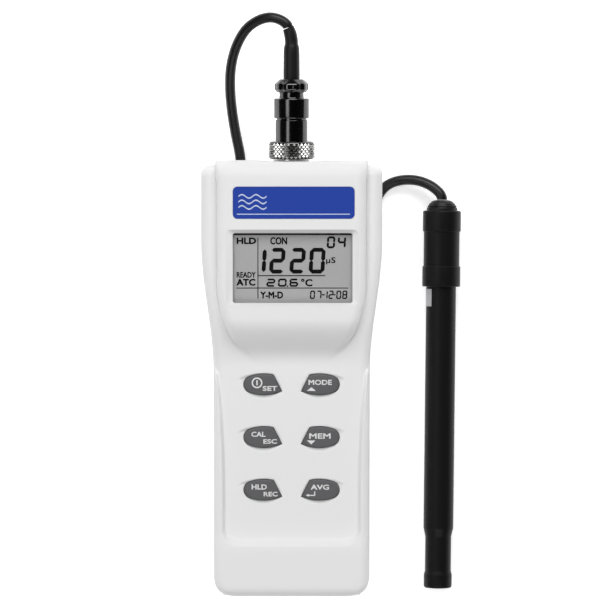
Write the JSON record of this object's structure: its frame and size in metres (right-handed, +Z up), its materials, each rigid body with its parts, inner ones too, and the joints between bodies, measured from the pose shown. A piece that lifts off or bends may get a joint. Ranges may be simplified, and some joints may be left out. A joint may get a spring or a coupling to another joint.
{
  "type": "water conductivity meter with probe",
  "caption": "Handheld water conductivity meter with raised display, recessed keypad and a cabled black probe screwed into its end; keys press, cover slides, stand folds.",
  "frame": {"origin": "middle of the footprint of the meter and probe, on the bench", "axes": "+X across the meter towards the probe, +Y from the grip end to the connector, +Z up from the bench"},
  "size_m": [0.1056, 0.2351, 0.0489],
  "materials": {
    "case_plastic": "light grey ABS, fine texture",
    "blue_label": "printed film, semi-gloss",
    "clear_window": "clear polycarbonate",
    "lcd_glass": "grey reflective liquid crystal cell",
    "white_plastic": "moulded",
    "circuit_board": "solder mask",
    "black_plastic": "moulded",
    "key_rubber": "silicone, satin",
    "steel": "plated",
    "battery_wrap": "plain wrap",
    "nickel": "bright nickel",
    "gold_contact": "gold flash",
    "black_rubber": "satin",
    "cable_jacket": "PVC jacket, semi-gloss",
    "probe_plastic": "black ABS, satin",
    "label_film": "grey film",
    "graphite": "graphite rings"
  },
  "bodies": {
    "meter": {"front_case": "case_plastic", "rear_case": "case_plastic", "label_plate": "blue_label", "lcd_window": "clear_window", "lcd_glass": "lcd_glass", "lcd_frame": "white_plastic", "zebra_strips": "black_rubber", "main_board": "circuit_board", "board_parts": "black_plastic", "board_screws": "steel", "buzzer": "black_plastic", "keypad_mat": "key_rubber", "key_domes": "key_rubber", "case_screws": "steel", "batteries": "battery_wrap", "battery_contacts": "steel", "stand_pin": "steel", "output_jack": "black_plastic", "probe_socket": "nickel", "socket_nut": "nickel", "socket_insert": "black_plastic", "socket_contacts": "gold_contact", "plug_shell": "nickel", "plug_insert": "black_plastic", "plug_pins": "gold_contact", "plug_back_shell": "nickel", "clamp_nut": "nickel", "plug_boot": "black_rubber", "cable_from_plug": "cable_jacket", "cable_coil": "cable_jacket", "cable_tie": "black_plastic", "cable_to_probe": "cable_jacket", "strain_relief": "black_rubber", "probe_cap": "probe_plastic", "probe_handle": "probe_plastic", "probe_ferrule": "probe_plastic", "probe_tube": "probe_plastic", "probe_label": "label_film", "probe_tip": "probe_plastic", "cell_core": "white_plastic", "electrodes": "graphite", "thermistor": "steel"},
    "battery_cover": {"battery_cover": "case_plastic"},
    "tilt_stand": {"tilt_stand": "case_plastic"},
    "power_key": {"power_key": "key_rubber"},
    "mode_key": {"mode_key": "key_rubber"},
    "calibrate_key": {"calibrate_key": "key_rubber"},
    "memory_key": {"memory_key": "key_rubber"},
    "hold_key": {"hold_key": "key_rubber"},
    "enter_key": {"enter_key": "key_rubber"},
    "coupling_ring": {"coupling_ring": "nickel"}
  },
  "joints": [
    {"name": "power_key_press", "type": "slide", "parent": "meter", "child": "power_key", "axis": [0, 0.0783, -0.9969], "range_m": [0, 0.0009], "stiffness_N_per_m": 900, "springref_m": -0.0006, "deforming": ["key_domes"]},
    {"name": "mode_key_press", "type": "slide", "parent": "meter", "child": "mode_key", "axis": [0, 0.0783, -0.9969], "range_m": [0, 0.0009], "stiffness_N_per_m": 900, "springref_m": -0.0006, "deforming": ["key_domes"]},
    {"name": "calibrate_key_press", "type": "slide", "parent": "meter", "child": "calibrate_key", "axis": [0, 0.0783, -0.9969], "range_m": [0, 0.0009], "stiffness_N_per_m": 900, "springref_m": -0.0006, "deforming": ["key_domes"]},
    {"name": "memory_key_press", "type": "slide", "parent": "meter", "child": "memory_key", "axis": [0, 0.0783, -0.9969], "range_m": [0, 0.0009], "stiffness_N_per_m": 900, "springref_m": -0.0006, "deforming": ["key_domes"]},
    {"name": "hold_key_press", "type": "slide", "parent": "meter", "child": "hold_key", "axis": [0, 0.0783, -0.9969], "range_m": [0, 0.0009], "stiffness_N_per_m": 900, "springref_m": -0.0006, "deforming": ["key_domes"]},
    {"name": "enter_key_press", "type": "slide", "parent": "meter", "child": "enter_key", "axis": [0, 0.0783, -0.9969], "range_m": [0, 0.0009], "stiffness_N_per_m": 900, "springref_m": -0.0006, "deforming": ["key_domes"]},
    {"name": "coupling_ring_turn", "type": "hinge", "parent": "meter", "child": "coupling_ring", "pos_m": [-0.01627, 0.06482, 0.03072], "axis": [0, 0.9969, 0.0783], "range_deg": [0, 540]},
    {"name": "battery_cover_slide", "type": "slide", "parent": "meter", "child": "battery_cover", "axis": [0, -0.9969, -0.0783], "range_m": [0, 0.045]},
    {"name": "tilt_stand_swing", "type": "hinge", "parent": "meter", "child": "tilt_stand", "pos_m": [-0.01627, -0.0118, 0.01016], "axis": [1, 0, 0], "range_deg": [0, 65]}
  ]
}
